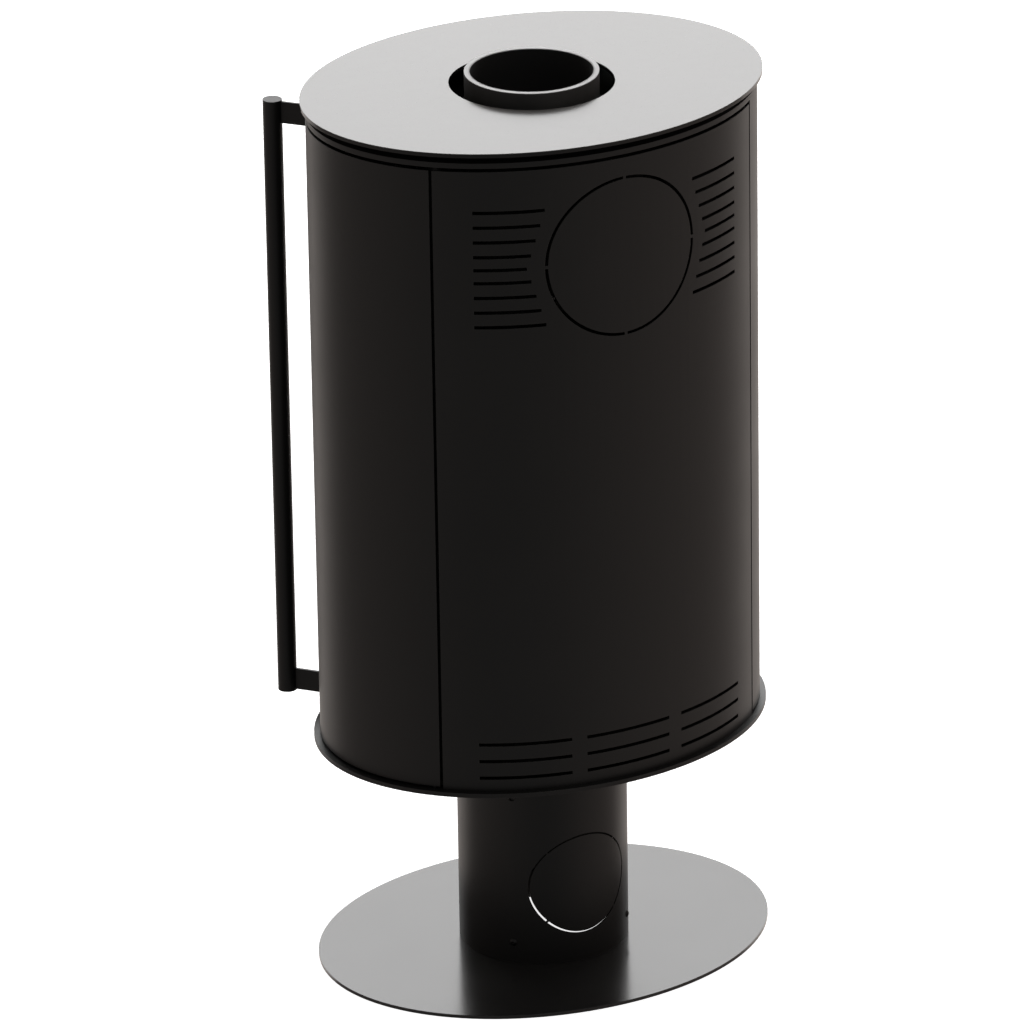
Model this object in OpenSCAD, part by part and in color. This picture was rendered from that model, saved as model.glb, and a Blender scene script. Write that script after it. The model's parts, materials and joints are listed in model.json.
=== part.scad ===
// Wood burning stove with an oval sheet-steel casing on a round column.
// Origin: centre of the base plate's underside. +Z is up, the door faces -Y and the
// rear panel faces +Y, so +X is the right-hand side of a person who faces the door.

/* [Casing] */
// Width of the oval casing over its panels
body_w = 517; // [507:1:527]
// Depth of the oval casing over its panels
body_d = 408; // [400:1:418]
// How far the top plate stands out past the casing
top_lip = 6; // [4:1:8]
// How far the bottom plate stands out past the casing
bottom_lip = 7; // [4:1:8]
// Thickness of the top plate
top_t = 4.5; // [4:0.5:5]
// Thickness of the bottom plate
plate_t = 5; // [4:0.5:6]
// Thickness of the casing panels and of the door's skin
panel_t = 2; // [1.5:0.5:2]
// Place of the four panel seams on the oval, counted from the side of the stove
seam_angle = 40; // [39:0.5:41]
// Width of the seams between the panels
seam_gap = 3.5; // [3:0.5:4]
// Underside of the bottom plate above the floor
body_z = 270; // [250:1:320]
// Height of the casing, bottom plate and top plate included
body_h = 756.5; // [750:0.5:770]
// Flats that make up one whole oval
oval_steps = 120; // [96:12:180]

/* [Top] */
// Outer diameter of the flue collar
collar_d = 148; // [148:1:152]
// Inner diameter of the flue collar
collar_bore_d = 135.4; // [120:0.2:136]
// How far the collar's rim stands above the top plate
collar_rise = 12.5; // [8:0.5:40]
// Diameter of the hole in the top plate around the collar
top_hole_d = 182; // [178:1:190]
// Height of the shadow groove under the top plate
groove_h = 8.5; // [6:0.5:10]
// Thickness of the band under the groove
band_t = 6; // [4:0.5:6]
// Gap between the band and the panels under it
band_gap = 4; // [4:0.5:5]

/* [Column and base] */
// Width of the oval base plate
base_w = 533; // [524:1:560]
// Depth of the oval base plate
base_d = 423; // [414:1:440]
// Thickness of the base plate
base_t = 4; // [4:0.5:6]
// Outer diameter of the column
column_d = 191.5; // [188:0.5:200]
// Wall of the column
column_t = 2; // [1.5:0.5:3]
// Diameter of the knock-out in the column
column_knock_d = 119.5; // [110:0.5:126]
// Height of that knock-out's centre above the floor
column_knock_z = 99; // [94:1:110]
// Width of the cut around the knock-out in the column
column_cut = 2; // [1.5:0.5:3]
// Diameter of the combustion air spigot under the body
spigot_d = 100; // [80:1:100]

/* [Rear panel] */
// Diameter of the flue knock-out in the rear panel
rear_knock_d = 180; // [170:0.5:184]
// Depth of the flue knock-out's centre below the top plate's face
rear_knock_drop = 136; // [130:0.5:140]
// Width of the cut around the flue knock-out
rear_cut = 3.5; // [2:0.5:3.5]
// Width of the tabs that hold the flue knock-out
rear_tab = 3.5; // [2:0.5:6]
// Height of each vent slot
slot_h = 4; // [3:0.5:5]
// Distance from one upper vent slot to the next
upper_pitch = 17; // [15:1:17]
// Distance from one lower vent slot to the next
lower_pitch = 20; // [16:1:20]

/* [Door] */
// Lower edge of the window opening above the bottom plate
window_low = 225; // [215:1:235]
// Height of the window opening
window_h = 450; // [400:1:450]
// Thickness of the ceramic glass
glass_t = 4; // [4:0.5:5]
// Diameter of the handle bar
handle_d = 21.5; // [18:0.5:24]
// Distance of the handle bar's axis from the door
handle_reach = 56; // [50:1:60]
// Length of the handle bar
handle_l = 708; // [690:1:712]

/* [Hidden] */

// Oval of the casing: half width and half depth.
A = body_w / 2;
B = body_d / 2;
half_gap = seam_gap / 2;

// Heights, from the floor up.
deck = body_z + plate_t;              // top face of the bottom plate
top_z = body_z + body_h;              // top face of the top plate
plate_under = top_z - top_t;
band_top = plate_under - groove_h;
band_z = band_top - band_t;
panel_top = band_z - band_gap;
roof_z = top_z - 43;                  // underside of the firebox roof
rim_z = top_z + collar_rise;
knock_z = top_z - rear_knock_drop;
door_z = deck + 3;
door_top = panel_top - 2;
box_top = deck + 70;                  // top of the air box, where the firebox stands
hearth_z = deck + 195;                // top face of the firebox floor
bed_top = hearth_z + 25;
baffle_z = deck + 505;
window_z = deck + window_low;
frame_low = deck + 109;               // lower edge of the door's inner frame
frame_top = deck + 700;

// Window, in degrees of the oval: sides of the opening behind the glass, and of the glass.
open_p0 = -125;
open_p1 = -55;
glass_p0 = -127;
glass_p1 = -53;

// Steel plate of the firebox, and its plan: flat sides, a flat back and two chamfers.
steel_t = 4;
box_half_w = 154;
box_back = 140;
box_chamfer = 42;
front_inset = 30;                     // inner face of the front frame, behind the casing
seat_inset = 26;                      // outer face of the front frame

// Radii.
column_r = column_d / 2;
column_bore_r = column_r - column_t;
ring_clear = 0.1;
ring_wall = 3;
ring_r = column_bore_r - ring_clear;
floor_hole_r = ring_r - ring_wall;
collar_r = collar_d / 2;
collar_bore_r = collar_bore_d / 2;
spigot_r = spigot_d / 2;

// Screws through the column: their height and their angles from the rear.
foot_screw_z = 29;
foot_ring_h = 28.5;
socket_screw_z = body_z - 62;
column_screw_angles = [50, 130, 230, 310];
column_tab = 1.5;                     // tabs that hold the column's knock-out
socket_l = 82;

// Door hinge: the pins stand just behind the door's skin, near its left-hand seam.
pin_r = 5;
pin_run = 0.05;
barrel_r = 9;
boss_r = 8.5;
pin_edge = 14;                        // pin to the door's edge, along the wall
pin_inset = panel_t + barrel_r + 0.05;
pin_angle = seam_angle - 180 + span(half_gap + pin_edge, seam_angle);
barrel_low = [door_z + 12, 40];       // start and length of each hinge barrel
barrel_high = [door_top - 35, 32];

// Handle: its arms meet the door near the right-hand seam.
arm_angle = -seam_angle - span(12, seam_angle);
arm_t = 3;
arm_h = 25;
arm_foot = 18;                        // foot of each arm, along the door's skin
arm_end = 1.5;                        // arm to the bar's end
arm_hole_edge = 6.5;                  // screw holes from the arm's upper and lower edges
arm_hole_side = 10.8;                 // screw holes from the arm's middle plane
arm_hole_r = 2;
handle_z = deck + 8;
arm_z = [handle_z + arm_end, handle_z + handle_l - arm_end - arm_h];

// Catch at the door's right-hand edge, seen from above.
roller_at = [165.5, -116];
roller_r = 7;
arm_pivot = [164, -70];
catch_pin_r = 2.5;
catch_bore_r = 2.55;
strike_x = 175.9;
catch_z = deck + 365;
catch_h = 30;

// Air lever under the bottom plate.
lever_y = -110;
lever_travel = 45;
lever_z = body_z - 9;
lever_t = 4;

black = [0.11, 0.105, 0.1];
steel = [0.62, 0.63, 0.64];
iron = [0.2, 0.2, 0.21];
stone = [0.78, 0.72, 0.6];

// ---- helpers ----

// Degrees of the oval's parameter that cover a length along the wall at angle p.
function span(mm, p) = mm / (PI / 180 * norm([A * sin(p), B * cos(p)]));

function oval(a, b) =
    [for (i = [0:oval_steps - 1]) [a * cos(360 * i / oval_steps), b * sin(360 * i / oval_steps)]];

function oval_arc(inset, p0, p1) =
    let (n = max(2, round((p1 - p0) * oval_steps / 360)))
    [for (i = [0:n]) let (p = p0 + (p1 - p0) * i / n) [(A - inset) * cos(p), (B - inset) * sin(p)]];

function reversed(v) = [for (i = [len(v) - 1:-1:0]) v[i]];

module oval_plate(a, b, z, h)
    translate([0, 0, z]) linear_extrude(h) polygon(oval(a, b));

// Part of the casing's wall, from angle p0 to p1, its outer face set in by inset.
module wall(inset, t, p0, p1, z, h)
    translate([0, 0, z]) linear_extrude(h)
        polygon(concat(oval_arc(inset, p0, p1), reversed(oval_arc(inset + t, p0, p1))));

// Wall with a window: the window leaves a border of lip degrees and edge millimetres.
module wall_frame(inset, t, p0, p1, z, h, lip, edge)
    difference() {
        wall(inset, t, p0, p1, z, h);
        wall(inset - 1, t + 2, p0 + lip, p1 - lip, z + edge, h - 2 * edge);
    }

// Local frame on the wall at angle p: +X points straight out of the wall, +Y along it.
module at_wall(p, inset, z)
    translate([A * cos(p), B * sin(p), z])
        rotate([0, 0, atan2(A * sin(p), B * cos(p))])
            translate([-inset, 0, 0]) children();

module tube(r_out, r_in, z, h, fn = 96)
    translate([0, 0, z]) difference() {
        cylinder(r = r_out, h = h, $fn = fn);
        translate([0, 0, -1]) cylinder(r = r_in, h = h + 2, $fn = fn);
    }

module block(low, high) translate(low) cube(high - low);

// Button-head screw: its shank runs down from z = 0 and its head stands on z = 0.
module button_screw(r, shank) {
    head_r = 1.8 * r;
    head_h = 0.9 * r;
    ball = (head_r * head_r + head_h * head_h) / (2 * head_h);
    difference() {
        union() {
            translate([0, 0, -shank]) cylinder(r = r, h = shank + 0.01, $fn = 24);
            intersection() {
                translate([0, 0, head_h - ball]) sphere(r = ball, $fn = 48);
                cylinder(r = head_r, h = head_h + 1, $fn = 48);
            }
        }
        translate([0, 0, head_h * 0.35]) cylinder(r = 0.75 * r, h = head_h, $fn = 6);
    }
}

// Round cut broken by four tabs, through a wall that faces +Y.
module knock_out_cut(r, cut, tab, y0, y1, turn)
    rotate([-90, 0, 0]) translate([0, 0, y0]) difference() {
        cylinder(r = r + cut / 2, h = y1 - y0, $fn = 96);
        translate([0, 0, -1]) cylinder(r = r - cut / 2, h = y1 - y0 + 2, $fn = 96);
        for (a = [0:90:270])
            rotate([0, 0, a + turn]) block([0, -tab / 2, -2], [r + 20, tab / 2, y1 - y0 + 2]);
    }

// Plan of the firebox, set in by the given distance; its front is left long.
module box_plan(inset) {
    k = inset * tan(22.5);
    x1 = box_half_w - inset;
    y1 = box_back - inset;
    right = [[x1, -B], [x1, box_back - box_chamfer - k], [box_half_w - box_chamfer - k, y1]];
    polygon(concat(right, [for (p = reversed(right)) [-p[0], p[1]]]));
}

// Everything behind the firebox's front frame, from z up by h.
module behind_front(z, h, clear = 0.2)
    oval_plate(A - front_inset - clear, B - front_inset - clear, z, h);

// Plate or block that fills the firebox's plan, from z up by h.
module box_sheet(inset, z, h)
    intersection() {
        translate([0, 0, z]) linear_extrude(h) box_plan(inset);
        behind_front(z - 1, h + 2);
    }

// ---- base and column ----

module base_plate() color(black)
    difference() {
        oval_plate(base_w / 2, base_d / 2, 0, base_t);
        translate([0, 0, -1]) cylinder(r = floor_hole_r, h = base_t + 2, $fn = 96);
    }

module radial_holes(z, r)
    for (a = column_screw_angles)
        rotate([0, 0, 90 + a]) translate([floor_hole_r - 10, 0, z]) rotate([0, 90, 0])
            cylinder(r = r, h = 30, $fn = 24);

module radial_screws(z)
    for (a = column_screw_angles)
        rotate([0, 0, 90 + a]) translate([column_r, 0, z]) rotate([0, 90, 0])
            button_screw(2.5, column_t + ring_clear + ring_wall - 0.5);

module foot_ring() color(black)
    difference() {
        tube(ring_r, floor_hole_r, base_t, foot_ring_h);
        radial_holes(foot_screw_z, 2.5);
    }

module foot_screws() color(black) radial_screws(foot_screw_z);

module column() color(black)
    difference() {
        tube(column_r, column_bore_r, base_t, body_z - base_t);
        translate([0, 0, column_knock_z])
            knock_out_cut(column_knock_d / 2, column_cut, column_tab, 60, 110, 45);
        radial_holes(foot_screw_z, 2.5);
        radial_holes(socket_screw_z, 2.5);
    }

module column_socket() color(black)
    difference() {
        tube(ring_r, floor_hole_r, body_z - socket_l, socket_l);
        radial_holes(socket_screw_z, 2.5);
    }

module column_top_screws() color(black) radial_screws(socket_screw_z);

module air_spigot() color(steel)
    union() {
        tube(spigot_r, spigot_r - 2, body_z - 55, 55);
        tube(spigot_r + 12, spigot_r - 2, body_z - 2, 2);
    }

// ---- casing ----

module bottom_plate() color(black)
    difference() {
        oval_plate(A + bottom_lip, B + bottom_lip, body_z, plate_t);
        translate([0, 0, body_z - 1]) cylinder(r = spigot_r - 2, h = plate_t + 2, $fn = 96);
        lever_slot(body_z - 1, plate_t + 2, lever_post_r + 0.6);
    }

half_seam = span(half_gap, seam_angle);

module side_panel(p0, p1, top)
    wall(0, panel_t, p0, p1, deck + 3, top - deck - 3);

module side_panel_right() color(black)
    side_panel(-seam_angle + half_seam, seam_angle - half_seam, panel_top);

module side_panel_left() color(black)
    side_panel(180 - seam_angle + half_seam, 180 + seam_angle - half_seam, band_z);

// Slots through the rear panel, from x0 to x1, about height z.
module rear_slot(x0, x1, z) block([x0, B / 2, z - slot_h / 2], [x1, B + 1, z + slot_h / 2]);

// Nine slots on each side of the knock-out. Their inner ends follow two slanted lines towards
// it, and the middle slot's neighbours stand a little closer than the others.
slot_outer = 162.2;
slot_inner = 110.3;
slot_slant = 0.293;
middle_shift = 2;

module upper_slots()
    for (i = [-4:4]) {
        dz = upper_pitch * i - sign(i) * middle_shift;
        for (side = [0, 1])
            mirror([side, 0, 0]) rear_slot(slot_inner - slot_slant * abs(dz), slot_outer, knock_z + dz);
    }

// Three rows of three slots near the bottom plate.
first_row = 16;
lower_groups = [[-164.5, -69], [-52, 52], [69, 164.5]];

module lower_slots()
    for (row = [0:2], group = lower_groups)
        rear_slot(group[0], group[1], deck + first_row + lower_pitch * row);

module rear_panel() color(black)
    difference() {
        wall(0, panel_t, seam_angle + half_seam, 180 - seam_angle - half_seam, deck, panel_top - deck);
        translate([0, 0, knock_z]) knock_out_cut(rear_knock_d / 2, rear_cut, rear_tab, 150, B + 5, 0);
        upper_slots();
        lower_slots();
    }

// Upright channels behind the two rear seams, open towards the panels. Their webs carry the top band.
post_depth = 9;
post_span = 2.6;                      // half width of a channel, in degrees of the oval
post_side = 0.6;

module frame_posts() color(black)
    for (p = [seam_angle, 180 - seam_angle])
        union() {
            wall(panel_t + post_depth, 2, p - post_span, p + post_span, deck, band_z - deck);
            for (start = [p - post_span, p + post_span - post_side])
                wall(panel_t + 0.2, post_depth, start, start + post_side, deck, panel_top - deck);
        }

band_w = 33;
spacer_inset = 13;
spacer_w = 7;

module top_band() color(black)
    difference() {
        oval_plate(A, B, band_z, band_t);
        oval_plate(A - band_w, B - band_w, band_z - 1, band_t + 2);
    }

module top_spacer() color(black)
    difference() {
        oval_plate(A - spacer_inset, B - spacer_inset, band_top, groove_h);
        oval_plate(A - spacer_inset - spacer_w, B - spacer_inset - spacer_w, band_top - 1, groove_h + 2);
    }

module top_plate() color([0.3, 0.3, 0.3])
    difference() {
        oval_plate(A + top_lip, B + top_lip, plate_under, top_t);
        translate([0, 0, plate_under - 1]) cylinder(r = top_hole_d / 2, h = top_t + 2, $fn = 120);
    }

// ---- flue collar ----

collar_screw_pcr = 81.5;
collar_foot = roof_z + steel_t;

module collar_pattern(n = 6)
    for (a = [0:n - 1]) rotate([0, 0, 30 + a * 360 / n]) translate([collar_screw_pcr, 0, 0]) children();

module flue_collar() color(iron)
    difference() {
        union() {
            tube(collar_r, collar_bore_r, collar_foot, rim_z - collar_foot, 120);
            tube(88, collar_bore_r, collar_foot, 5, 120);
        }
        translate([0, 0, collar_foot - 1]) collar_pattern() cylinder(r = 3, h = 7, $fn = 24);
    }

module collar_screws() color(steel)
    translate([0, 0, collar_foot + 5]) collar_pattern() button_screw(3, 5 + steel_t + 3);

module firebox_roof() color(black)
    difference() {
        box_sheet(0, roof_z, steel_t);
        translate([0, 0, roof_z - 1]) cylinder(r = 70, h = steel_t + 2, $fn = 96);
        translate([0, 0, roof_z - 1]) collar_pattern() cylinder(r = 3, h = steel_t + 2, $fn = 24);
    }

// ---- firebox ----

module firebox_walls() color(black)
    difference() {
        box_sheet(0, box_top, roof_z - box_top);
        translate([0, 0, -1]) linear_extrude(rim_z) box_plan(steel_t);
        translate([0, 0, knock_z]) rotate([-90, 0, 0]) cylinder(r = collar_bore_r, h = 2 * B, $fn = 96);
        cover_pattern() cylinder(r = 3, h = 60, center = true, $fn = 24);
    }

module front_frame() color(black)
    difference() {
        wall(seat_inset, steel_t, -132.8, -47.2, box_top, band_z - box_top);
        wall(seat_inset - 1, steel_t + 2, open_p0, open_p1, window_z, window_h);
        wall(seat_inset - 1, steel_t + 2, -116, -64, hearth_z - 68, 62);
    }

module firebox_floor() color(black)
    difference() {
        box_sheet(steel_t, hearth_z - steel_t, steel_t);
        block([-84, -64, hearth_z - 10], [84, 64, hearth_z + 10]);
    }

module fire_bed() color(stone)
    difference() {
        box_sheet(steel_t + 0.5, hearth_z, bed_top - hearth_z);
        block([-95, -75, hearth_z - 1], [95, 75, bed_top + 1]);
    }

module grate() color(iron)
    difference() {
        block([-94, -74, hearth_z], [94, 74, hearth_z + 14]);
        for (i = [-5:5])
            block([i * 15 - 4, -58, hearth_z - 1], [i * 15 + 4, 58, hearth_z + 15]);
    }

// Liner boards, cut to the firebox's chamfered corners.
liner_t = 25;
liner_in = box_half_w - steel_t - liner_t;
liner_back = box_back - steel_t - liner_t;

module liner_board(low, high)
    intersection() {
        box_sheet(steel_t + 0.3, bed_top, baffle_z - bed_top);
        block(low, high);
    }

module liner_rear() color(stone)
    liner_board([-box_half_w + 20, liner_back, bed_top], [box_half_w - 20, box_back, baffle_z]);

module side_liner()
    liner_board([liner_in, -92, bed_top], [box_half_w, liner_back - 0.5, baffle_z]);

module liner_right() color(stone) side_liner();
module liner_left() color(stone) mirror([1, 0, 0]) side_liner();

module baffle_plate() color(stone)
    intersection() {
        box_sheet(steel_t + 1, baffle_z, liner_t);
        block([-B, -55, baffle_z], [B, B, baffle_z + liner_t]);
    }

// Folded steel plate under the flue outlet, hung on two side flanges. Its tall front flange
// sends the smoke round its rear edge.
deflector_t = 2;
deflector_half_w = 149;
deflector_front = -90;
deflector_drop = 55;

module smoke_deflector() color(steel)
    translate([0, 0, roof_z - deflector_drop]) union() {
        difference() {
            block([-deflector_half_w, deflector_front, 0], [deflector_half_w, 80, 30]);
            block([-deflector_half_w + deflector_t, deflector_front + deflector_t, deflector_t],
                [deflector_half_w - deflector_t, 81, 31]);
        }
        block([-deflector_half_w + 9, deflector_front, 0],
            [deflector_half_w - 9, deflector_front + deflector_t, deflector_drop - 1]);
    }

module log_retainer() color(iron)
    union() {
        block([-124, -112, bed_top], [124, -92, bed_top + 3]);
        block([-124, -112, bed_top + 3], [124, -108, bed_top + 34]);
    }

// ---- rear flue outlet behind the knock-out ----

outlet_y = box_back + 26;

module cover_pattern()
    for (a = [45:90:315])
        translate([0, box_back, knock_z]) rotate([-90, 0, 0]) rotate([0, 0, a])
            translate([collar_screw_pcr, 0, 0]) children();

module rear_outlet() color(iron)
    difference() {
        translate([0, box_back, knock_z]) rotate([-90, 0, 0]) union() {
            tube(collar_r, collar_bore_r, 0, outlet_y - box_back, 96);
            tube(88, collar_bore_r, 0, 5, 96);
        }
        cover_pattern() cylinder(r = 3, h = 60, center = true, $fn = 24);
    }

module rear_outlet_cover() color(black)
    translate([0, outlet_y, knock_z]) rotate([-90, 0, 0]) union() {
        cylinder(r = collar_r, h = 3, $fn = 96);
        translate([0, 0, -8]) tube(collar_bore_r - 0.3, collar_bore_r - 3, 0, 8.01);
    }

module cover_screws() color(steel)
    translate([0, 5, 0]) cover_pattern() button_screw(3, 5 + steel_t + 3);

// Bent sheet between the firebox and the rear panel, with a hole around the outlet.
shield_t = 2;
shield_y = 164;
shield_half_w = 122;
shield_fold = 30;

module heat_shield() color(black)
    difference() {
        translate([0, 0, deck]) linear_extrude(panel_top - deck) for (side = [0, 1]) mirror([side, 0])
            polygon([[0, shield_y], [shield_half_w, shield_y],
                [shield_half_w + shield_fold, shield_y - shield_fold],
                [shield_half_w + shield_fold + shield_t, shield_y - shield_fold],
                [shield_half_w + shield_t / 2, shield_y + shield_t], [0, shield_y + shield_t]]);
        translate([0, B / 2, knock_z]) rotate([-90, 0, 0]) cylinder(r = 92, h = B, $fn = 96);
    }

// ---- ash pan and air supply ----

pan_z = hearth_z - 62;

module ash_pan() color(steel)
    difference() {
        union() {
            block([-94, -104, pan_z], [94, 84, pan_z + 46]);
            block([-30, -116, pan_z + 42], [30, -104, pan_z + 46]);
        }
        block([-92.5, -102.5, pan_z + 1.5], [92.5, 82.5, pan_z + 50]);
    }

module ash_pan_rails() color(black)
    for (side = [0, 1])
        mirror([side, 0, 0]) union() {
            block([80, -104, pan_z - 3], [box_half_w - steel_t, 90, pan_z - 0.5]);
            block([97, -104, pan_z - 0.5], [99.5, 90, pan_z + 12]);
        }

module air_box() color(black)
    difference() {
        union() {
            block([-172, -112, deck], [172, 100, box_top]);
            block([-25, -168, deck], [25, -112, box_top]);
        }
        block([-169, -109, deck - 1], [169, 97, box_top - 3]);
        block([-22, -165, deck - 1], [22, -108, box_top - 3]);
        block([-60, -60, box_top - 4], [60, 20, box_top + 1]);
        for (side = [-1, 1])
            block([side * 163 - 5, -26, box_top - 4], [side * 163 + 5, 26, box_top + 1]);
    }

// One flat duct on each side of the firebox, from the air box to the air wash channel.
module air_ducts() color(black)
    for (side = [0, 1])
        mirror([side, 0, 0]) difference() {
            block([box_half_w + 0.5, -30, box_top], [172, 30, roof_z - 20]);
            block([box_half_w + 2, -28.5, box_top - 1], [170.5, 28.5, roof_z - 22]);
            block([box_half_w - 1, -20, roof_z - 50], [box_half_w + 3, 20, roof_z - 26]);
        }

module air_wash_channel() color(black)
    difference() {
        intersection() {
            behind_front(roof_z - 34, 33.5, 0.5);
            block([-140, -B, roof_z - 34], [140, -100, roof_z - 0.5]);
        }
        intersection() {
            behind_front(roof_z - 32, 33, 2.5);
            block([-138, -B, roof_z - 32], [138, -102, roof_z - 2.5]);
        }
        block([-120, -B + 38, roof_z - 35], [120, -B + 42, roof_z - 31]);
    }

// ---- air control ----

lever_post_r = 4;
lever_half_w = 9;
lever_end = -192;

// Slot with round ends that the lever's post runs along.
module lever_slot(z, h, r)
    union() {
        for (y = [lever_y, lever_y - lever_travel])
            translate([0, y, z]) cylinder(r = r, h = h, $fn = 32);
        block([-r, lever_y - lever_travel, z], [r, lever_y, z + h]);
    }

module air_valve() color(steel)
    union() {
        block([-56, -56, deck + 1], [56, 56, deck + 4]);
        block([-14, lever_y - 8, deck + 1], [14, -56, deck + 4]);
    }

module air_lever() color(steel)
    union() {
        translate([0, lever_y, lever_z]) cylinder(r = lever_post_r, h = deck + 1 - lever_z, $fn = 32);
        block([-lever_half_w, lever_end, lever_z], [lever_half_w, lever_y + 9, lever_z + lever_t]);
    }

// Strap under the bottom plate that the lever slides through.
module lever_guide() color(steel)
    difference() {
        block([-lever_half_w - 5, -176, lever_z - 2.5], [lever_half_w + 5, -164, body_z]);
        block([-lever_half_w - 0.6, -177, lever_z - 0.6], [lever_half_w + 0.6, -163, body_z + 1]);
    }

// Knob with a pocket for the lever's end.
knob_half_w = 14;
knob_wall = 3;
knob_fit = 0.2;

module air_knob() color(black)
    difference() {
        block([-knob_half_w, lever_end - 15, lever_z - knob_wall],
            [knob_half_w, lever_end + 9, lever_z + lever_t + knob_wall]);
        block([-lever_half_w - knob_fit, lever_end - knob_fit, lever_z - knob_fit],
            [lever_half_w + knob_fit, lever_end + 10, lever_z + lever_t + knob_fit]);
    }

// ---- door hinge ----

module at_hinge(z) at_wall(pin_angle, pin_inset, z) children();

module hinge_brackets() color(black)
    union() {
        at_hinge(deck) cylinder(r = boss_r, h = barrel_low[0] - 0.5 - deck, $fn = 48);
        at_hinge(door_top - 2.5) cylinder(r = boss_r, h = band_z - door_top + 2.5, $fn = 48);
    }

module hinge_pins() color(steel)
    union() {
        at_hinge(barrel_low[0] - 0.5) cylinder(r = pin_r, h = barrel_low[1] - 3, $fn = 48);
        at_hinge(barrel_high[0] + 2) cylinder(r = pin_r, h = door_top - 2.5 - barrel_high[0] - 2, $fn = 48);
    }

module hinge_barrels() color(black)
    for (b = [barrel_low, barrel_high])
        at_hinge(b[0]) difference() {
            union() {
                cylinder(r = barrel_r, h = b[1], $fn = 48);
                block([5, 0, 4], [barrel_r - 0.8, 16.5, b[1] - 4]);
            }
            translate([0, 0, -1]) cylinder(r = pin_r + pin_run, h = b[1] + 2, $fn = 48);
        }

// ---- door ----

door_p0 = seam_angle - 180 + half_seam;
door_p1 = -seam_angle - half_seam;

module door_skin() color(black)
    difference() {
        wall(0, panel_t, door_p0, door_p1, door_z, door_top - door_z);
        wall(-1, panel_t + 2, open_p0 + 1, open_p1 - 1, window_z + 8, window_h - 16);
        arm_points(10) cylinder(r = arm_hole_r, h = 20, $fn = 24);
    }

module glass_seal() color([0.7, 0.7, 0.68])
    wall_frame(panel_t + 0.2, 1.6, glass_p0, glass_p1, window_z - 2, window_h + 4, 2.2, 8);

module door_glass() color([0.2, 0.2, 0.22, 0.5])
    wall(panel_t + 2, glass_t, glass_p0, glass_p1, window_z - 2, window_h + 4);

clamp_inset = panel_t + 2 + glass_t;

module glass_clamps() color(black)
    for (p = [[glass_p0 - 2.2, open_p0], [open_p1, glass_p1 + 2]])
        difference() {
            wall(clamp_inset + 0.3, 2, p[0], p[1], window_z - 2, window_h + 4);
            clamp_points() rotate([0, 90, 0]) cylinder(r = 2.1, h = 20, center = true, $fn = 24);
        }

module clamp_points()
    for (p = [glass_p0 - 1.2, glass_p1 + 1.2], dz = [20, window_h / 2, window_h - 20])
        at_wall(p, clamp_inset + 2.5, window_z + dz) children();

module glass_clamp_screws() color(steel)
    clamp_points() rotate([0, -90, 0]) button_screw(1.9, clamp_inset + 2.5 - panel_t - 0.2);

// Inner frame that carries the rope seal against the front frame.
rail_p0 = -131.6;
rail_p1 = -48.4;
rail_inset = 12;
rail_t = 2.5;
rail_side = 0.6;                      // its side rails, in degrees of the oval
frame_h = frame_top - frame_low;

// It is a tray with its open side towards the door's skin.
module door_frame() color(black)
    difference() {
        wall(panel_t + 0.2, rail_inset + rail_t - panel_t - 0.2, rail_p0, rail_p1, frame_low, frame_h);
        wall(panel_t - 1, rail_inset - panel_t + 1, rail_p0 + rail_side, rail_p1 - rail_side,
            frame_low + rail_t, frame_h - 2 * rail_t);
        wall(rail_inset - 1, rail_t + 2, open_p0, open_p1, window_z + 5, window_h - 10);
        wall(rail_inset - 1, rail_t + 2, -118, -62, frame_low + 24, window_z - frame_low - 50);
    }

module door_rope_seal() color([0.75, 0.74, 0.7])
    wall_frame(rail_inset + 2.7, seat_inset - rail_inset - 3.2, -130.6, -49.4,
        frame_low + 3, frame_h - 6, 2.4, 10);

// ---- handle ----

module handle_bar() color(black)
    at_wall(arm_angle, -handle_reach, handle_z) cylinder(r = handle_d / 2, h = handle_l, $fn = 64);

// Screw places in the arms' feet, seen from inside the door: +Z points out of the wall.
module arm_points(inset)
    for (z = arm_z, dz = [arm_hole_edge, arm_h - arm_hole_edge])
        at_wall(arm_angle, inset, z + dz)
            translate([0, -arm_hole_side, 0]) rotate([0, 90, 0]) children();

// Flat arms, each bent to a foot on the door's skin.
module handle_arms() color(black)
    difference() {
        for (z = arm_z)
            at_wall(arm_angle, 0, z) union() {
                block([0.2, -arm_t / 2, 0], [handle_reach, arm_t / 2, arm_h]);
                block([0.2, -arm_foot, 0], [0.2 + arm_t, 0, arm_h]);
            }
        for (z = arm_z)
            at_wall(arm_angle, -handle_reach, z - 1) cylinder(r = handle_d / 2, h = arm_h + 2, $fn = 64);
        arm_points(10) cylinder(r = arm_hole_r, h = 20, $fn = 24);
    }

module handle_screws() color(steel)
    arm_points(panel_t + 0.4) rotate([180, 0, 0]) button_screw(arm_hole_r, panel_t + 0.5 + arm_t);

// ---- catch ----

module catch_bracket() color(steel)
    translate([0, 0, catch_z]) union() {
        block([box_half_w, -64, 0], [arm_pivot[0] + 4, -61, catch_h]);
        block([box_half_w, -61, 0], [box_half_w + 2, -35, catch_h]);
        translate([arm_pivot[0], arm_pivot[1], 0]) cylinder(r = catch_pin_r, h = catch_h, $fn = 32);
        block([arm_pivot[0] - 4, arm_pivot[1] - 4, 0], [arm_pivot[0] + 4, -63.9, 3]);
    }

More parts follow.
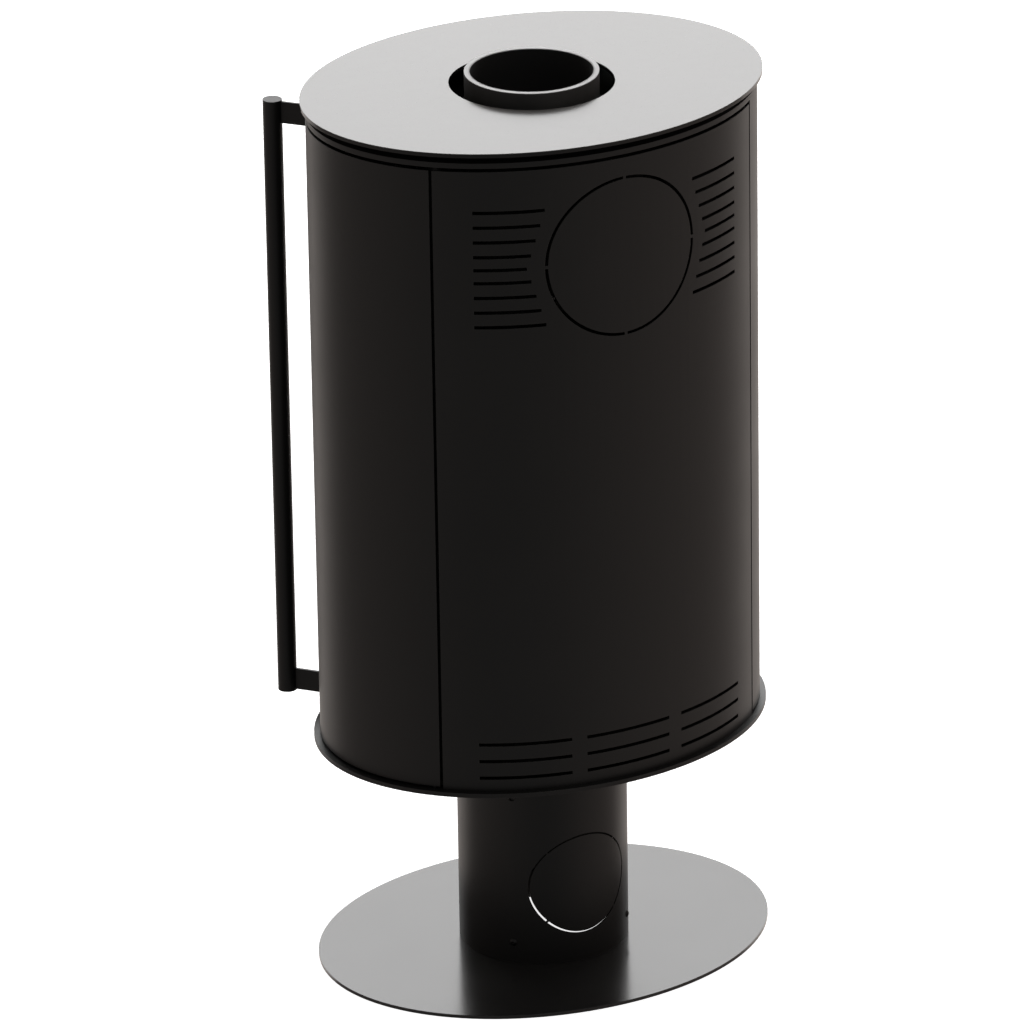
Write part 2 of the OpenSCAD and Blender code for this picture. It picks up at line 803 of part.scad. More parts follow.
module catch_arm() color(steel)
    translate([0, 0, catch_z + 4]) difference() {
        union() {
            translate([arm_pivot[0], arm_pivot[1], 0]) cylinder(r = 5, h = 22, $fn = 32);
            block([arm_pivot[0] - 2, roller_at[1], 0], [arm_pivot[0] + 2, arm_pivot[1], 4]);
            translate([roller_at[0], roller_at[1], 0]) cylinder(r = 4, h = 4, $fn = 32);
            translate([roller_at[0], roller_at[1], 3]) cylinder(r = catch_pin_r, h = 19, $fn = 32);
        }
        translate([arm_pivot[0], arm_pivot[1], -1]) cylinder(r = catch_bore_r, h = 24, $fn = 32);
    }

module catch_roller() color(steel)
    translate([roller_at[0], roller_at[1], 0]) tube(roller_r, catch_bore_r, catch_z + 8.5, 16, 48);

// Tongue on the door that runs past the roller; a round bead on its end holds the door shut.
module strike_plate() color(steel)
    translate([0, 0, catch_z]) union() {
        intersection() {
            block([strike_x, -B, 2], [strike_x + 2.5, -104, catch_h - 2]);
            oval_plate(A - panel_t - 0.2, B - panel_t - 0.2, 0, catch_h);
        }
        translate([strike_x, -107, 2]) cylinder(r = 2.8, h = catch_h - 4, $fn = 32);
    }

base_plate();
foot_ring();
foot_screws();
column();
column_socket();
column_top_screws();
bottom_plate();
air_spigot();
side_panel_left();
side_panel_right();
rear_panel();
frame_posts();
top_band();
top_spacer();
top_plate();
flue_collar();
collar_screws();
firebox_walls();
firebox_floor();
firebox_roof();
front_frame();
fire_bed();
grate();
liner_rear();
liner_left();
liner_right();
baffle_plate();
smoke_deflector();
log_retainer();
rear_outlet();
rear_outlet_cover();
cover_screws();
heat_shield();
ash_pan();
ash_pan_rails();
air_box();
air_ducts();
air_wash_channel();
hinge_brackets();
hinge_pins();
catch_bracket();
door_skin();
door_frame();
door_glass();
glass_seal();
door_rope_seal();
glass_clamps();
glass_clamp_screws();
hinge_barrels();
strike_plate();
handle_bar();
handle_arms();
handle_screws();
catch_arm();
catch_roller();
air_valve();
air_lever();
lever_guide();
air_knob();
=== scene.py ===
import json
import math

import bpy
from mathutils import Matrix, Vector


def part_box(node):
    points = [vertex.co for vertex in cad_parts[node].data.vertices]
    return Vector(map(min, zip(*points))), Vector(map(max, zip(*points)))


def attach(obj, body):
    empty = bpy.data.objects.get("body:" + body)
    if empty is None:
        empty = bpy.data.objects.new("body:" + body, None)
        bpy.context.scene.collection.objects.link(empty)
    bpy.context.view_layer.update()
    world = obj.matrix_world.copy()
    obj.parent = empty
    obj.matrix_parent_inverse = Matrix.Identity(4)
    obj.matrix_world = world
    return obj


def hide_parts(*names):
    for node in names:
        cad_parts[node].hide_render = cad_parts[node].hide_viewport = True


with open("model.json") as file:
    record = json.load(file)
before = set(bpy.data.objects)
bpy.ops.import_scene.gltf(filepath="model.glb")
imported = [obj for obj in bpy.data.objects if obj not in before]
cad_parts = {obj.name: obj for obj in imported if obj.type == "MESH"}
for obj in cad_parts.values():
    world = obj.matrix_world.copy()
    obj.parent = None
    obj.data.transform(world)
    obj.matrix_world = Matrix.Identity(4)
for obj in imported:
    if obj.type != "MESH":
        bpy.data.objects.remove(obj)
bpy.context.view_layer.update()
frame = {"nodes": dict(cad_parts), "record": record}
NODES = frame["nodes"]
SLOTS = {row["node"]: row["material_slot"] for row in frame["record"]["subparts"]}

# Lengths are in metres and angles in degrees. Azimuth 0 is in front of the stove.

# Camera: the view of a long lens from behind the stove and to its right.
LENS_MM = 318.57
SENSOR_MM = 36.0
CAMERA_DISTANCE = 10.137
CAMERA_AZIMUTH = 151.378
CAMERA_ELEVATION = 23.008
CAMERA_ROLL = -0.897
AIM_HEIGHT = 0.5127
AIM_SIDE = -0.0256

# Stage: a round floor inside a round wall.
STAGE_RADIUS = 28.0
STAGE_SIDES = 96
FLOOR_DROP = 0.0006
FLOOR_GLOW = 0.93
FLOOR_LEVEL = 0.8
WHITE = (1, 1, 1)

# Light: softboxes that look at one height of the stove, and a dim room that glows low down.
LIGHT_AIM = 0.6
LOW_LIGHT = -25
AWAY_FROM_CAMERA = CAMERA_AZIMUTH + 180
ROOM_LIGHT = 0.165
ROOM_COLOUR = (1.0, 0.98, 0.96)
BOUNCE_COLOUR = (1.0, 0.92, 0.86)
GLOW_COLOUR = (1.0, 0.78, 0.68)
SIDE_GLOWS = (
    {"azimuth": CAMERA_AZIMUTH + 115, "start": -0.1, "strength": 0.22},
    {"azimuth": CAMERA_AZIMUTH - 100, "start": 0.0, "strength": 0.13},
)

# Shading of the CAD nodes: faces that are this close are joined, and joints flatter than this are smooth.
JOIN_WITHIN = 0.00001
SMOOTH_BELOW = math.radians(30)

# Masks: how far below a node's highest point its top face fades in, how far outside a collar's
# bore its darkening fades out, and from which turn of the rounded normal a point counts as an edge.
TOP_FACE_START = 0.0009
TOP_FACE_FULL = 0.0004
BORE_DARK_FULL = 0.0012
BORE_DARK_END = 0.0018
EDGE_START = 0.03
EDGE_FULL = 0.3
BEVEL_SAMPLES = 4

# Colours and levels of grey in the finishes. A warmth tints a grey towards brown.
# Grey of the flue collar inside its bore, darker than its outside.
BORE_DARK_LEVEL = 0.006
# Painted highlight: the light grey of the flue collar's top rim, where it catches the light.
RIM_HIGHLIGHT_LEVEL = 0.4
# Painted light: the lighter, warmer grey of the top plate's top face, for the light that falls on it from
# above.
PAINTED_TOP_LIGHT_LEVEL = 0.08
PAINTED_TOP_LIGHT_WARMTH = 0.05
PAINT_WARMTH = 0.03
WORN_LEVEL = 0.12
FLAKE_DARK = (0.36, 0.27, 0.16, 1)
FLAKE_LIGHT = (0.66, 0.55, 0.38, 1)
BOARD_GROUND = (0.5, 0.43, 0.33, 1)
BOARD_SOOT = (0.12, 0.1, 0.085, 1)
GLASS_CLEAR = (0.93, 0.92, 0.9, 1)
GLASS_HAZE = (0.8, 0.77, 0.73, 1)
GLASS_IOR = 1.5
YARN_CLEAN = (0.66, 0.64, 0.58, 1)
YARN_SMOKED = (0.38, 0.37, 0.35, 1)
YARN_LIGHT = (0.8, 0.79, 0.75, 1)

# Round corners of the pieces made here.
CORNER_STEPS = 8

# Braided seals. Depth is along the door wall's normal, and width is across the strand in that wall.
ARC_STEPS = 200
BRAID_STEP = 0.0013
BRAID_SIDES = 32
BRAID_CORNER = 0.8
DOOR_ROPE = {"depth": 0.0106, "width": 0.0098, "strands": 8, "pitch": 0.005, "relief": 0.16}
GLASS_TAPE = {"depth": 0.0015, "width": 0.0078, "strands": 12, "pitch": 0.003, "relief": 0.12}

# Grip of the air lever.
KNOB_ROWS = 60
KNOB_ROW_GROWTH = 1.3
KNOB_NOSE = 0.0045
KNOB_NOSE_FLATNESS = 0.6
KNOB_CORNER = 0.0022
KNOB_CORNER_LOSS = 0.4
KNOB_GROOVES = 3
KNOB_GROOVE_PITCH = 0.0045
KNOB_GROOVE_DEPTH = 0.0009


# ---- shared helpers ----

def direction(azimuth, elevation):
    """Unit vector from the stove towards a viewer or a lamp."""
    a = math.radians(azimuth)
    e = math.radians(elevation)
    return Vector((math.sin(a) * math.cos(e), -math.cos(a) * math.cos(e), math.sin(e)))


def mesh_piece(name, vertices, faces, material):
    mesh = bpy.data.meshes.new(name)
    mesh.from_pydata(vertices, [], faces)
    mesh.materials.append(material)
    piece = bpy.data.objects.new(name, mesh)
    bpy.context.scene.collection.objects.link(piece)
    return piece


def ring_faces(rings, sides, closed=False):
    """Faces between each ring of points and the next one, and from the last to the first if closed."""
    spans = rings if closed else rings - 1
    faces = []
    for i in range(spans):
        this = i * sides
        following = (i + 1) % rings * sides
        for j in range(sides):
            k = (j + 1) % sides
            faces.append((this + j, this + k, following + k, following + j))
    return faces


# ---- camera ----

def make_camera():
    back = direction(CAMERA_AZIMUTH, CAMERA_ELEVATION)
    roll = math.radians(CAMERA_ROLL)
    right = (-back).cross(Vector((0, 0, 1))).normalized()
    up = right.cross(-back)
    target = right * AIM_SIDE + Vector((0, 0, AIM_HEIGHT))
    rolled_right = right * math.cos(roll) + up * math.sin(roll)
    rolled_up = up * math.cos(roll) - right * math.sin(roll)
    data = bpy.data.cameras.new("camera")
    data.lens = LENS_MM
    data.sensor_width = SENSOR_MM
    data.clip_start = 0.1
    data.clip_end = 100.0
    camera = bpy.data.objects.new("camera", data)
    turn = Matrix((rolled_right, rolled_up, back)).transposed().to_4x4()
    camera.matrix_world = Matrix.Translation(target + back * CAMERA_DISTANCE) @ turn
    bpy.context.scene.collection.objects.link(camera)
    bpy.context.scene.camera = camera


# ---- material graphs ----

class Graph:
    """A material's node graph, with short calls for the nodes that the finishes share.

    A value that a call takes is a number, a colour or another call's result.
    """

    def __init__(self, name):
        self.material = bpy.data.materials.new(name)
        self.material.use_nodes = True
        self.tree = self.material.node_tree
        self.tree.nodes.clear()
        self.shader = self.node("BsdfPrincipled")
        output = self.node("OutputMaterial")
        self.feed(self.shader.outputs["BSDF"], output.inputs["Surface"])
        self.place = self.node("TexCoord").outputs["Object"]

    def node(self, kind):
        return self.tree.nodes.new("ShaderNode" + kind)

    def feed(self, value, socket):
        """Puts a number, a colour or another node's output into a socket."""
        if isinstance(value, bpy.types.NodeSocket):
            self.tree.links.new(value, socket)
        else:
            socket.default_value = value

    def feed_all(self, node, values):
        for name, value in values.items():
            self.feed(value, node.inputs[name])

    def stretched(self, x, y, z):
        node = self.node("Mapping")
        self.feed_all(node, {"Vector": self.place, "Scale": (x, y, z)})
        return node.outputs["Vector"]

    def noise(self, scale, detail=3.0, roughness=0.5, place=None):
        """Soft random pattern of about scale features in a metre."""
        node = self.node("TexNoise")
        self.feed_all(node, {"Vector": place or self.place, "Scale": scale, "Detail": detail,
                             "Roughness": roughness})
        return node.outputs["Fac"]

    def cells(self, scale, output="Distance", place=None):
        """Random cells, as the distance from their middles or as a colour for each."""
        node = self.node("TexVoronoi")
        self.feed_all(node, {"Vector": place or self.place, "Scale": scale})
        return node.outputs[output]

    def parts(self):
        """The three coordinates of the shaded point, in the object's own space."""
        node = self.node("SeparateXYZ")
        self.feed(self.place, node.inputs["Vector"])
        return node.outputs

    def top_face(self, piece):
        """1 on the highest face of a CAD node, and 0 just below it."""
        highest = max(vertex.co.z for vertex in piece.data.vertices)
        return self.spread(self.parts()[2], low=highest - TOP_FACE_START, high=highest - TOP_FACE_FULL)

    def spread(self, value, low, high, to_low=0.0, to_high=1.0):
        """Maps low..high to to_low..to_high and holds it there."""
        node = self.node("MapRange")
        self.feed_all(node, {"Value": value, "From Min": low, "From Max": high,
                             "To Min": to_low, "To Max": to_high})
        return node.outputs["Result"]

    def math(self, kind, a, b=0.0):
        node = self.node("Math")
        node.operation = kind
        self.feed(a, node.inputs[0])
        self.feed(b, node.inputs[1])
        return node.outputs[0]

    def plus(self, a, b):
        return self.math("ADD", a, b)

    def minus(self, a, b):
        return self.math("SUBTRACT", a, b)

    def times(self, a, b):
        return self.math("MULTIPLY", a, b)

    def mix(self, share, a, b):
        """Colour a where share is 0, and colour b where it is 1."""
        node = self.node("Mix")
        node.data_type = "RGBA"
        self.feed_all(node, {"Factor": share, "A": a, "B": b})
        return node.outputs["Result"]

    def rounded(self, radius):
        """Normal that turns over each edge as if it were broken by this radius."""
        node = self.node("Bevel")
        node.samples = BEVEL_SAMPLES
        self.feed(radius, node.inputs["Radius"])
        return node.outputs["Normal"]

    def edges(self, radius):
        """About 1 along convex and concave edges, and 0 on open faces."""
        plain = self.node("NewGeometry").outputs["Normal"]
        both = self.node("VectorMath")
        both.operation = "DOT_PRODUCT"
        self.feed(self.rounded(radius), both.inputs[0])
        self.feed(plain, both.inputs[1])
        return self.spread(self.minus(1.0, both.outputs["Value"]), low=EDGE_START, high=EDGE_FULL)

    def bump(self, height, depth, under=None):
        """Normal with the relief of height, this deep, over another normal or the plain one."""
        node = self.node("Bump")
        self.feed_all(node, {"Distance": depth, "Height": height})
        if under is not None:
            self.feed(under, node.inputs["Normal"])
        return node.outputs["Normal"]

    def finish(self, colour, roughness, normal=None, metallic=0.0, specular=0.5):
        self.feed_all(self.shader, {"Base Color": colour, "Roughness": roughness, "Metallic": metallic,
                                    "Specular IOR Level": specular})
        if normal is not None:
            self.feed(normal, self.shader.inputs["Normal"])
        return self.material


def grey(level, warmth=0.0):
    return (level * (1 + warmth), level, level * (1 - warmth), 1.0)


def stove_paint(name, level, roughness, grain=1.0, specular=0.5, wear=0.35, lit_top=None):
    """Sprayed heat-resistant paint: fine grain, soft clouds, and edges rubbed a little smoother.

    The highest face of the node that the last argument names gets painted light: a lighter, warmer grey for
    the light that falls on it from above.
    """
    g = Graph(name)
    clouds = g.noise(scale=9.0, detail=4.0, roughness=0.6)
    fine_grain = g.noise(scale=1500.0, detail=2.0, roughness=0.6)
    ripple = g.noise(scale=170.0, detail=2.0)
    specks = g.spread(g.noise(scale=620.0, detail=1.0), low=0.66, high=0.74)
    rub_patches = g.spread(g.noise(scale=55.0, detail=5.0, roughness=0.7), low=0.42, high=0.62)
    rubbed = g.times(g.edges(radius=0.0012), rub_patches)
    dark = grey(level * 0.86, PAINT_WARMTH)
    light = grey(level * 1.14, PAINT_WARMTH * 1.3)
    base = g.mix(g.spread(clouds, low=0.3, high=0.7), dark, light)
    # Painted light: the top face of that node is painted a lighter, warmer grey for the light it catches
    # from above.
    if lit_top is not None:
        lit_top_dark = grey(PAINTED_TOP_LIGHT_LEVEL * 0.93, PAINTED_TOP_LIGHT_WARMTH)
        lit_top_light = grey(PAINTED_TOP_LIGHT_LEVEL * 1.07, PAINTED_TOP_LIGHT_WARMTH)
        painted_top_light = g.mix(g.spread(clouds, low=0.3, high=0.7), lit_top_dark, lit_top_light)
        base = g.mix(g.top_face(NODES[lit_top]), base, painted_top_light)
    base = g.mix(g.times(specks, 0.25), base, grey(level * 1.9, PAINT_WARMTH))
    base = g.mix(g.times(rubbed, wear), base, grey(WORN_LEVEL, warmth=0.02))
    rough = g.spread(clouds, low=0.25, high=0.75, to_low=roughness - 0.02, to_high=roughness + 0.03)
    rough = g.plus(rough, g.spread(fine_grain, low=0.3, high=0.7, to_low=-0.02, to_high=0.02))
    rough = g.minus(rough, g.times(rubbed, 0.08))
    normal = g.bump(ripple, depth=0.00003 * grain, under=g.rounded(radius=0.0005))
    normal = g.bump(fine_grain, depth=0.000012 * grain, under=normal)
    return g.finish(base, rough, normal, specular=specular)


def zinc_sheet(name, level):
    """Zinc-plated sheet: crystal spangle, faint rolling lines and dull patches."""
    g = Graph(name)
    spangle = g.cells(scale=120.0, output="Color")
    patches = g.noise(scale=14.0, detail=5.0, roughness=0.65)
    lines = g.noise(scale=60.0, detail=4.0, place=g.stretched(1.0, 1.0, 40.0))
    share = g.spread(g.plus(g.times(spangle, 0.35), g.times(patches, 0.65)), low=0.25, high=0.75)
    base = g.mix(share, grey(level * 0.8, warmth=-0.02), grey(level * 1.15))
    base = g.mix(g.times(g.edges(radius=0.0006), 0.5), base, grey(level * 1.5))
    rough = g.plus(g.spread(patches, low=0.3, high=0.7, to_low=0.34, to_high=0.5),
                   g.spread(lines, low=0.3, high=0.7, to_low=-0.04, to_high=0.04))
    normal = g.bump(lines, depth=0.00002, under=g.rounded(radius=0.0004))
    return g.finish(base, rough, normal, metallic=1.0)


def bare_steel(name, level, roughness):
    """Machined steel with fine turning marks and a little dulling."""
    g = Graph(name)
    marks = g.noise(scale=420.0, place=g.stretched(0.4, 0.4, 6.0))
    dull = g.noise(scale=40.0, detail=4.0, roughness=0.7)
    base = g.mix(g.spread(dull, low=0.35, high=0.7), grey(level), grey(level * 0.7, warmth=0.03))
    rough = g.plus(g.spread(dull, low=0.3, high=0.7, to_low=roughness, to_high=roughness + 0.14),
                   g.spread(marks, low=0.3, high=0.7, to_low=-0.04, to_high=0.04))
    normal = g.bump(marks, depth=0.00001, under=g.rounded(radius=0.0003))
    return g.finish(base, rough, normal, metallic=1.0)


def cast_iron(name, level, roughness, collar=None):
    """Cast iron under stove paint: a fine sandy skin with small pits.

    The node named by collar is also darker and rougher inside its bore, and its top rim is painted light
    grey as a painted highlight.
    """
    g = Graph(name)
    skin = g.noise(scale=430.0, detail=5.0, roughness=0.65)
    pits = g.spread(g.cells(scale=260.0), low=0.0, high=0.22)
    clouds = g.noise(scale=18.0, detail=4.0)
    dark = grey(level * 0.85, warmth=0.02)
    light = grey(level * 1.2, warmth=0.04)
    base = g.mix(g.spread(clouds, low=0.3, high=0.7), dark, light)
    base = g.mix(g.times(g.edges(radius=0.001), 0.3), base, grey(level * 2.6, warmth=0.02))
    rough = g.plus(g.spread(clouds, low=0.3, high=0.7, to_low=roughness - 0.03, to_high=roughness + 0.04),
                   g.spread(skin, low=0.3, high=0.7, to_low=-0.03, to_high=0.03))
    if collar is not None:
        bore = min(vertex.co.xy.length for vertex in NODES[collar].data.vertices)
        x, y, _ = g.parts()
        radius = g.math("SQRT", g.plus(g.times(x, x), g.times(y, y)))
        # Inside its bore the collar is painted darker and made rougher.
        in_bore = g.spread(radius, low=bore + BORE_DARK_FULL, high=bore + BORE_DARK_END, to_low=1.0, to_high=0.0)
        base = g.mix(in_bore, base, grey(BORE_DARK_LEVEL, warmth=0.05))
        # Painted highlight: the collar's top rim is painted light grey where it catches the light.
        base = g.mix(g.top_face(NODES[collar]), base, grey(RIM_HIGHLIGHT_LEVEL))
        rough = g.plus(rough, g.times(in_bore, 0.3))
    normal = g.bump(pits, depth=0.000021, under=g.rounded(radius=0.0007))
    normal = g.bump(skin, depth=0.00003, under=normal)
    return g.finish(base, rough, normal)


def vermiculite(name):
    """Pressed vermiculite board: golden flakes in a pale tan ground, with a soft crumbly face."""
    g = Graph(name)
    flakes = g.cells(scale=330.0, output="Color", place=g.stretched(1.0, 1.0, 1.6))
    flake_height = g.cells(scale=330.0, place=g.stretched(1.0, 1.0, 1.6))
    clouds = g.noise(scale=22.0, detail=5.0, roughness=0.65)
    crumbs = g.noise(scale=900.0)
    soot = g.spread(g.noise(scale=7.0, detail=5.0, roughness=0.7), low=0.5, high=0.8)
    base = g.mix(g.spread(flakes, low=0.2, high=0.9), FLAKE_DARK, FLAKE_LIGHT)
    base = g.mix(g.spread(clouds, low=0.35, high=0.7, to_high=0.45), base, BOARD_GROUND)
    base = g.mix(g.times(soot, 0.35), base, BOARD_SOOT)
    rough = g.spread(flakes, low=0.0, high=1.0, to_low=0.72, to_high=0.95)
    normal = g.bump(flake_height, depth=0.0004, under=g.rounded(radius=0.0015))
    normal = g.bump(crumbs, depth=0.00012, under=normal)
    return g.finish(base, rough, normal, specular=0.25)


def ceramic_glass(name):
    """Clear ceramic glass with a breath of haze and soot in soft patches."""
    g = Graph(name)
    haze = g.noise(scale=11.0, detail=5.0, roughness=0.6)
    base = g.mix(g.spread(haze, low=0.35, high=0.75), GLASS_CLEAR, GLASS_HAZE)
    rough = g.spread(haze, low=0.35, high=0.8, to_low=0.01, to_high=0.06)
    waves = g.noise(scale=25.0, detail=1.0)
    g.feed_all(g.shader, {"Transmission Weight": 1.0, "IOR": GLASS_IOR})
    return g.finish(base, rough, g.bump(waves, depth=0.00002))


def rope_fibre(name):
    """Glass-fibre yarn, off-white with grey smoke."""
    g = Graph(name)
    fibres = g.noise(scale=700.0, place=g.stretched(1.0, 1.0, 0.35))
    smoke = g.noise(scale=30.0, detail=4.0)
    base = g.mix(g.spread(smoke, low=0.3, high=0.7), YARN_CLEAN, YARN_SMOKED)
    base = g.mix(g.spread(fibres, low=0.45, high=0.7, to_high=0.5), base, YARN_LIGHT)
    rough = g.spread(fibres, low=0.2, high=0.8, to_low=0.8, to_high=0.98)
    return g.finish(base, rough, g.bump(fibres, depth=0.0003), specular=0.2)


def stage_glow(name, strength, level):
    """Stage paint that is near white even in shade."""
    g = Graph(name)
    g.feed_all(g.shader, {"Emission Color": (*WHITE, 1), "Emission Strength": strength})
    return g.finish(grey(level), 1.0, specular=0.0)


FINISHES = {
    "casing_paint": stove_paint("casing_paint", level=0.0075, roughness=0.42),
    "plate_paint": stove_paint("plate_paint", level=0.02, roughness=0.17, grain=0.3, specular=0.52),
    "firebox_paint": stove_paint("firebox_paint", level=0.008, roughness=0.7, grain=2.0, specular=0.3),
    "handle_paint": stove_paint("handle_paint", level=0.0065, roughness=0.47, wear=0.2, specular=0.45),
    "black_screw": bare_steel("black_screw", level=0.05, roughness=0.35),
    "zinc_steel": zinc_sheet("zinc_steel", level=0.42),
    "bare_steel": bare_steel("bare_steel", level=0.5, roughness=0.3),
    "cast_iron": cast_iron("cast_iron", level=0.028, roughness=0.38),
    "vermiculite": vermiculite("vermiculite"),
    "ceramic_glass": ceramic_glass("ceramic_glass"),
    "rope": rope_fibre("rope"),
}

# Nodes that have a finish of their own.
OWN_FINISHES = {
    "flue_collar": cast_iron("collar_iron", level=0.055, roughness=0.4, collar="flue_collar"),
    # The top plate's paint has painted light on its top face.
    "top_plate": stove_paint("top_paint", level=0.0085, roughness=0.17, grain=0.3, specular=0.44,
                             lit_top="top_plate"),
}


# ---- CAD nodes ----

def smoothing_group():
    """Geometry nodes that join a mesh's faces and shade it smooth over every shallow joint."""
    group = bpy.data.node_groups.new("smooth_faces", "GeometryNodeTree")
    for way in ("INPUT", "OUTPUT"):
        group.interface.new_socket("Geometry", in_out=way, socket_type="NodeSocketGeometry")
    new = group.nodes.new
    joined = new("GeometryNodeMergeByDistance")
    joined.inputs["Distance"].default_value = JOIN_WITHIN
    angle = new("GeometryNodeInputMeshEdgeAngle")
    shallow = new("FunctionNodeCompare")
    shallow.data_type = "FLOAT"
    shallow.operation = "LESS_THAN"
    shallow.inputs[1].default_value = SMOOTH_BELOW
    group.links.new(angle.outputs["Unsigned Angle"], shallow.inputs[0])
    faces = new("GeometryNodeSetShadeSmooth")
    faces.domain = "FACE"
    joints = new("GeometryNodeSetShadeSmooth")
    joints.domain = "EDGE"
    group.links.new(shallow.outputs["Result"], joints.inputs["Shade Smooth"])
    last = new("NodeGroupInput").outputs["Geometry"]
    for step in (joined, faces, joints):
        group.links.new(last, step.inputs["Geometry"])
        last = step.outputs["Geometry"]
    group.links.new(last, new("NodeGroupOutput").inputs["Geometry"])
    return group


SMOOTH_FACES = smoothing_group()


def smooth(piece):
    piece.modifiers.new("smooth_faces", "NODES").node_group = SMOOTH_FACES


def paint_cad():
    """Gives each CAD node its finish, and smooth shading with hard edges."""
    for node, slot in SLOTS.items():
        piece = NODES[node]
        piece.data.materials.clear()
        piece.data.materials.append(OWN_FINISHES.get(node, FINISHES[slot]))
        normals = piece.data.attributes.get("custom_normal")
        if normals is not None:
            piece.data.attributes.remove(normals)
        smooth(piece)


# ---- braided seals ----

def door_arc(node, depth):
    """Rows along the middle of a door seal's wall: distance from its start, point and outward normal."""
    low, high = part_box(node)
    half_width, half_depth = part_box("top_band")[1][:2]
    outer = half_depth + low[1]
    start = math.acos(low[0] / (half_width - outer))
    inset = outer + depth / 2
    rows = []
    walked = 0.0
    for i in range(ARC_STEPS + 1):
        angle = start + (math.pi - 2 * start) * i / ARC_STEPS
        along_x = math.cos(angle)
        along_y = -math.sin(angle)
        point = Vector(((half_width - inset) * along_x, (half_depth - inset) * along_y, 0))
        normal = Vector((along_x / half_width, along_y / half_depth, 0)).normalized()
        if rows:
            walked += (point - rows[-1][1]).length
        rows.append((walked, point, normal))
    return rows


def on_arc(rows, distance):
    """Point and outward normal at a distance along the wall."""
    share = min(max(distance / rows[-1][0], 0.0), 1.0) * ARC_STEPS
    first = min(int(share), ARC_STEPS - 1)
    share -= first
    (_, point_a, normal_a), (_, point_b, normal_b) = rows[first], rows[first + 1]
    return point_a.lerp(point_b, share), normal_a.lerp(normal_b, share).normalized()


def loop_points(width, height, corner):
    """Evenly spaced points of a rectangle with round corners that starts at (0, 0), and its length."""
    outline = []
    centres = ((width - corner, corner), (width - corner, height - corner),
               (corner, height - corner), (corner, corner))
    for quarter, (x, y) in enumerate(centres):
        for i in range(CORNER_STEPS + 1):
            turn = math.pi / 2 * (quarter - 1 + i / CORNER_STEPS)
            outline.append(Vector((x + corner * math.cos(turn), y + corner * math.sin(turn))))
    sides = [(a, b, (b - a).length) for a, b in zip(outline, outline[1:] + outline[:1])]
    total = sum(length for _, _, length in sides)
    count = round(total / BRAID_STEP)
    points = []
    passed = 0.0
    side = 0
    for i in range(count):
        place = total * i / count
        while passed + sides[side][2] < place:
            passed += sides[side][2]
            side += 1
        a, b, length = sides[side]
        points.append(a.lerp(b, (place - passed) / length))
    return points, total


def braided_seal(name, node, depth, width, strands, pitch, relief):
    """Closed loop of braided yarn in the place of a door seal."""
    rows = door_arc(node, depth)
    low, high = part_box(node)
    points, total = loop_points(rows[-1][0] - width, high[2] - low[2] - width, width * BRAID_CORNER)
    repeats = round(total / pitch)
    count = len(points)
    places = []
    for point in points:
        at, normal = on_arc(rows, point.x + width / 2)
        places.append((at + Vector((0, 0, low[2] + width / 2 + point.y)), normal))
    vertices = []
    for i, (at, normal) in enumerate(places):
        along = (places[(i + 1) % count][0] - places[i - 1][0]).normalized()
        side = along.cross(normal).normalized()
        phase = math.pi * repeats * i / count
        for j in range(BRAID_SIDES):
            turn = math.tau * j / BRAID_SIDES
            one_way = abs(math.sin(strands * turn / 2 + phase))
            other_way = abs(math.sin(strands * turn / 2 - phase))
            swell = 1.0 - relief * (1.0 - max(one_way, other_way))
            vertices.append(at + normal * (depth / 2 * math.cos(turn) * swell)
                            + side * (width / 2 * math.sin(turn) * swell))
    piece = mesh_piece(name, vertices, ring_faces(count, BRAID_SIDES, closed=True), FINISHES["rope"])
    piece.data.polygons.foreach_set("use_smooth", [True] * len(piece.data.polygons))
    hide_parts(node)
    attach(piece, "door")


def make_seals():
    braided_seal("braided_door_rope", "door_rope_seal", **DOOR_ROPE)
    braided_seal("braided_glass_tape", "glass_seal", **GLASS_TAPE)


# ---- lever grip ----

def grip_ring(half_width, half_height, corner):
    """Outline of a bar with round corners, seen from its end."""
    ring = []
    for quarter, (side, up) in enumerate(((1, 1), (-1, 1), (-1, -1), (1, -1))):
        for i in range(CORNER_STEPS + 1):
            turn = math.pi / 2 * (quarter + i / CORNER_STEPS)
            ring.append((side * (half_width - corner) + corner * math.cos(turn),
                         up * (half_height - corner) + corner * math.sin(turn)))
    return ring


def make_grip():
    """Moulded grip in the place of the plain knob, with a round nose and finger grooves above and below."""
    low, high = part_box("air_knob")
    middle = (low + high) / 2
    half = (high - low) / 2
    vertices = []
    for i in range(KNOB_ROWS + 1):
        from_front = (high.y - low.y) * (1 - i / KNOB_ROWS) ** KNOB_ROW_GROWTH
        nose = max(KNOB_NOSE - from_front, 0.0)
        drawn_in = KNOB_NOSE - math.sqrt(KNOB_NOSE ** 2 - nose ** 2)
        along = (from_front - KNOB_NOSE) / KNOB_GROOVE_PITCH
        grooved = 0 < along < KNOB_GROOVES
        groove = KNOB_GROOVE_DEPTH * math.sin(math.pi * along) ** 2 if grooved else 0.0
        half_height = half.z - drawn_in * KNOB_NOSE_FLATNESS - groove
        corner = KNOB_CORNER * (1 - KNOB_CORNER_LOSS * drawn_in / KNOB_NOSE)
        for x, z in grip_ring(half.x - drawn_in, half_height, corner):
            vertices.append((middle.x + x, low.y + from_front, middle.z + z))
    rings = KNOB_ROWS + 1
    sides = len(vertices) // rings
    faces = ring_faces(rings, sides)
    faces.append(tuple(reversed(range(sides))))
    faces.append(tuple(KNOB_ROWS * sides + j for j in range(sides)))
    grip = mesh_piece("lever_grip", vertices, faces, FINISHES["handle_paint"])
    smooth(grip)
    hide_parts("air_knob")
    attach(grip, "air_control")


# ---- stage and light ----

